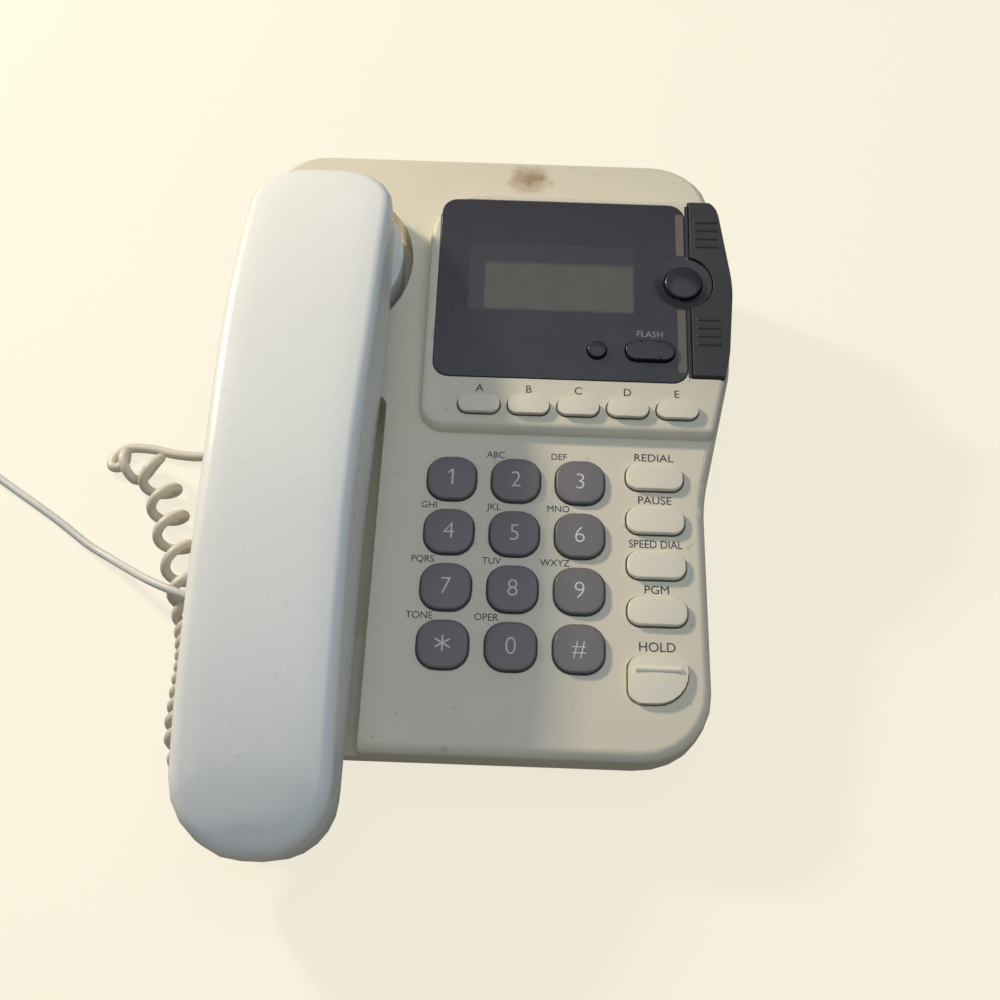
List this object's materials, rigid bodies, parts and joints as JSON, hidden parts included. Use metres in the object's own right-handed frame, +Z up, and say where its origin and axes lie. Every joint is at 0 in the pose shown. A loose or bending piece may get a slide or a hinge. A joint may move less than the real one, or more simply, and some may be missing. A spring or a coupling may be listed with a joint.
{
  "type": "caller id telephone",
  "caption": "Corded desk telephone with an arched handset, push keys, a tilted caller display, a scroll rocker and a coiled handset cord.",
  "frame": {"origin": "middle of the telephone's outline on the table, cords left out", "axes": "+X to the right of the user, +Y away from the user, +Z up"},
  "size_m": [0.3016, 0.2375, 0.0749],
  "materials": {
    "housing": "satin ivory, slightly yellowed",
    "handset": "soft gloss off-white",
    "cream_keys": "satin cream",
    "grey_keys": "satin dark warm grey",
    "dark_panel": "polished smoked plastic",
    "display": "olive grey display glass",
    "charcoal": "fine matte grain",
    "contact_rubber": "matte",
    "foot_rubber": "matte",
    "board": "lacquered",
    "steel": "plated",
    "cells": "printed sleeve, plain",
    "curly_jacket": "soft vinyl, slight sheen",
    "line_jacket": "soft vinyl, slight sheen",
    "plug_clear": "clear moulding"
  },
  "bodies": {
    "base": {"top_cover": "housing", "bottom_cover": "housing", "display_lens": "dark_panel", "lcd_module": "display", "keymat": "contact_rubber", "main_board": "board", "display_board": "board", "hook_switch": "charcoal", "ringer": "charcoal", "line_jack": "charcoal", "base_handset_jack": "charcoal", "batteries": "cells", "battery_contacts": "steel", "feet": "foot_rubber", "base_screws": "steel", "board_screws": "steel", "handset_cord": "curly_jacket", "handset_cord_plug_base": "plug_clear", "line_cord": "line_jacket", "line_cord_coil": "line_jacket", "line_cord_plugs": "plug_clear", "cord_tie": "charcoal"},
    "handset": {"handset_back_shell": "handset", "handset_front_shell": "handset", "receiver_capsule": "charcoal", "microphone": "charcoal", "handset_weight": "steel", "handset_jack": "charcoal", "handset_screws": "steel", "handset_cord_plug_handset": "plug_clear"},
    "dial_key_1": {"dial_key_1": "grey_keys"},
    "dial_key_2": {"dial_key_2": "grey_keys"},
    "dial_key_3": {"dial_key_3": "grey_keys"},
    "dial_key_4": {"dial_key_4": "grey_keys"},
    "dial_key_5": {"dial_key_5": "grey_keys"},
    "dial_key_6": {"dial_key_6": "grey_keys"},
    "dial_key_7": {"dial_key_7": "grey_keys"},
    "dial_key_8": {"dial_key_8": "grey_keys"},
    "dial_key_9": {"dial_key_9": "grey_keys"},
    "dial_key_star": {"dial_key_star": "grey_keys"},
    "dial_key_0": {"dial_key_0": "grey_keys"},
    "dial_key_hash": {"dial_key_hash": "grey_keys"},
    "redial_key": {"redial_key": "cream_keys"},
    "pause_key": {"pause_key": "cream_keys"},
    "speed_dial_key": {"speed_dial_key": "cream_keys"},
    "program_key": {"program_key": "cream_keys"},
    "hold_key": {"hold_key": "cream_keys"},
    "one_touch_key_a": {"one_touch_key_a": "cream_keys"},
    "one_touch_key_b": {"one_touch_key_b": "cream_keys"},
    "one_touch_key_c": {"one_touch_key_c": "cream_keys"},
    "one_touch_key_d": {"one_touch_key_d": "cream_keys"},
    "one_touch_key_e": {"one_touch_key_e": "cream_keys"},
    "round_key": {"round_key": "dark_panel"},
    "flash_key": {"flash_key": "dark_panel"},
    "select_button": {"select_button": "dark_panel"},
    "hook_plunger": {"hook_plunger": "cream_keys"},
    "scroll_rocker": {"scroll_rocker": "charcoal"},
    "ringer_switch": {"ringer_switch": "charcoal"},
    "dial_mode_switch": {"dial_mode_switch": "charcoal"},
    "battery_door": {"battery_door": "housing"}
  },
  "joints": [
    {"name": "handset_lift", "type": "slide", "parent": "base", "child": "handset", "axis": [0, -0.1478, 0.989], "range_m": [0, 0.1]},
    {"name": "hook_plunge", "type": "slide", "parent": "base", "child": "hook_plunger", "axis": [0, -0.1478, 0.989], "range_m": [0, 0.004]},
    {"name": "dial_key_1_press", "type": "slide", "parent": "base", "child": "dial_key_1", "axis": [0, 0.1478, -0.989], "range_m": [0, 0.0015], "stiffness_N_per_m": 400},
    {"name": "dial_key_2_press", "type": "slide", "parent": "base", "child": "dial_key_2", "axis": [0, 0.1478, -0.989], "range_m": [0, 0.0015], "stiffness_N_per_m": 400},
    {"name": "dial_key_3_press", "type": "slide", "parent": "base", "child": "dial_key_3", "axis": [0, 0.1478, -0.989], "range_m": [0, 0.0015], "stiffness_N_per_m": 400},
    {"name": "dial_key_4_press", "type": "slide", "parent": "base", "child": "dial_key_4", "axis": [0, 0.1478, -0.989], "range_m": [0, 0.0015], "stiffness_N_per_m": 400},
    {"name": "dial_key_5_press", "type": "slide", "parent": "base", "child": "dial_key_5", "axis": [0, 0.1478, -0.989], "range_m": [0, 0.0015], "stiffness_N_per_m": 400},
    {"name": "dial_key_6_press", "type": "slide", "parent": "base", "child": "dial_key_6", "axis": [0, 0.1478, -0.989], "range_m": [0, 0.0015], "stiffness_N_per_m": 400},
    {"name": "dial_key_7_press", "type": "slide", "parent": "base", "child": "dial_key_7", "axis": [0, 0.1478, -0.989], "range_m": [0, 0.0015], "stiffness_N_per_m": 400},
    {"name": "dial_key_8_press", "type": "slide", "parent": "base", "child": "dial_key_8", "axis": [0, 0.1478, -0.989], "range_m": [0, 0.0015], "stiffness_N_per_m": 400},
    {"name": "dial_key_9_press", "type": "slide", "parent": "base", "child": "dial_key_9", "axis": [0, 0.1478, -0.989], "range_m": [0, 0.0015], "stiffness_N_per_m": 400},
    {"name": "dial_key_star_press", "type": "slide", "parent": "base", "child": "dial_key_star", "axis": [0, 0.1478, -0.989], "range_m": [0, 0.0015], "stiffness_N_per_m": 400},
    {"name": "dial_key_0_press", "type": "slide", "parent": "base", "child": "dial_key_0", "axis": [0, 0.1478, -0.989], "range_m": [0, 0.0015], "stiffness_N_per_m": 400},
    {"name": "dial_key_hash_press", "type": "slide", "parent": "base", "child": "dial_key_hash", "axis": [0, 0.1478, -0.989], "range_m": [0, 0.0015], "stiffness_N_per_m": 400},
    {"name": "redial_key_press", "type": "slide", "parent": "base", "child": "redial_key", "axis": [0, 0.1478, -0.989], "range_m": [0, 0.0015], "stiffness_N_per_m": 400},
    {"name": "pause_key_press", "type": "slide", "parent": "base", "child": "pause_key", "axis": [0, 0.1478, -0.989], "range_m": [0, 0.0015], "stiffness_N_per_m": 400},
    {"name": "speed_dial_key_press", "type": "slide", "parent": "base", "child": "speed_dial_key", "axis": [0, 0.1478, -0.989], "range_m": [0, 0.0015], "stiffness_N_per_m": 400},
    {"name": "program_key_press", "type": "slide", "parent": "base", "child": "program_key", "axis": [0, 0.1478, -0.989], "range_m": [0, 0.0015], "stiffness_N_per_m": 400},
    {"name": "hold_key_press", "type": "slide", "parent": "base", "child": "hold_key", "axis": [0, 0.1478, -0.989], "range_m": [0, 0.0015], "stiffness_N_per_m": 400},
    {"name": "one_touch_key_a_press", "type": "slide", "parent": "base", "child": "one_touch_key_a", "axis": [0, 0.1994, -0.9799], "range_m": [0, 0.0015], "stiffness_N_per_m": 400},
    {"name": "one_touch_key_b_press", "type": "slide", "parent": "base", "child": "one_touch_key_b", "axis": [0, 0.1994, -0.9799], "range_m": [0, 0.0015], "stiffness_N_per_m": 400},
    {"name": "one_touch_key_c_press", "type": "slide", "parent": "base", "child": "one_touch_key_c", "axis": [0, 0.1994, -0.9799], "range_m": [0, 0.0015], "stiffness_N_per_m": 400},
    {"name": "one_touch_key_d_press", "type": "slide", "parent": "base", "child": "one_touch_key_d", "axis": [0, 0.1994, -0.9799], "range_m": [0, 0.0015], "stiffness_N_per_m": 400},
    {"name": "one_touch_key_e_press", "type": "slide", "parent": "base", "child": "one_touch_key_e", "axis": [0, 0.1994, -0.9799], "range_m": [0, 0.0015], "stiffness_N_per_m": 400},
    {"name": "round_key_press", "type": "slide", "parent": "base", "child": "round_key", "axis": [0, 0.1994, -0.9799], "range_m": [0, 0.0015], "stiffness_N_per_m": 400},
    {"name": "flash_key_press", "type": "slide", "parent": "base", "child": "flash_key", "axis": [0, 0.1994, -0.9799], "range_m": [0, 0.0015], "stiffness_N_per_m": 400},
    {"name": "select_button_press", "type": "slide", "parent": "base", "child": "select_button", "axis": [0, 0.1994, -0.9799], "range_m": [0, 0.0015], "stiffness_N_per_m": 400},
    {"name": "rocker_tilt", "type": "hinge", "parent": "base", "child": "scroll_rocker", "pos_m": [0.07093, 0.06131, 0.05261], "axis": [1, 0, 0], "range_deg": [-2.8, 2.8], "stiffness_Nm_per_rad": 1},
    {"name": "ringer_switch_slide", "type": "slide", "parent": "base", "child": "ringer_switch", "axis": [1, 0, 0], "range_m": [-0.002, 0.002]},
    {"name": "dial_mode_switch_slide", "type": "slide", "parent": "base", "child": "dial_mode_switch", "axis": [1, 0, 0], "range_m": [-0.002, 0.002]},
    {"name": "battery_door_slide", "type": "slide", "parent": "base", "child": "battery_door", "axis": [0, 1, 0], "range_m": [0, 0.03]}
  ],
  "couplings": [
    {"joint": "hook_plunge", "follows": "handset_lift", "ratio": 0.04}
  ]
}
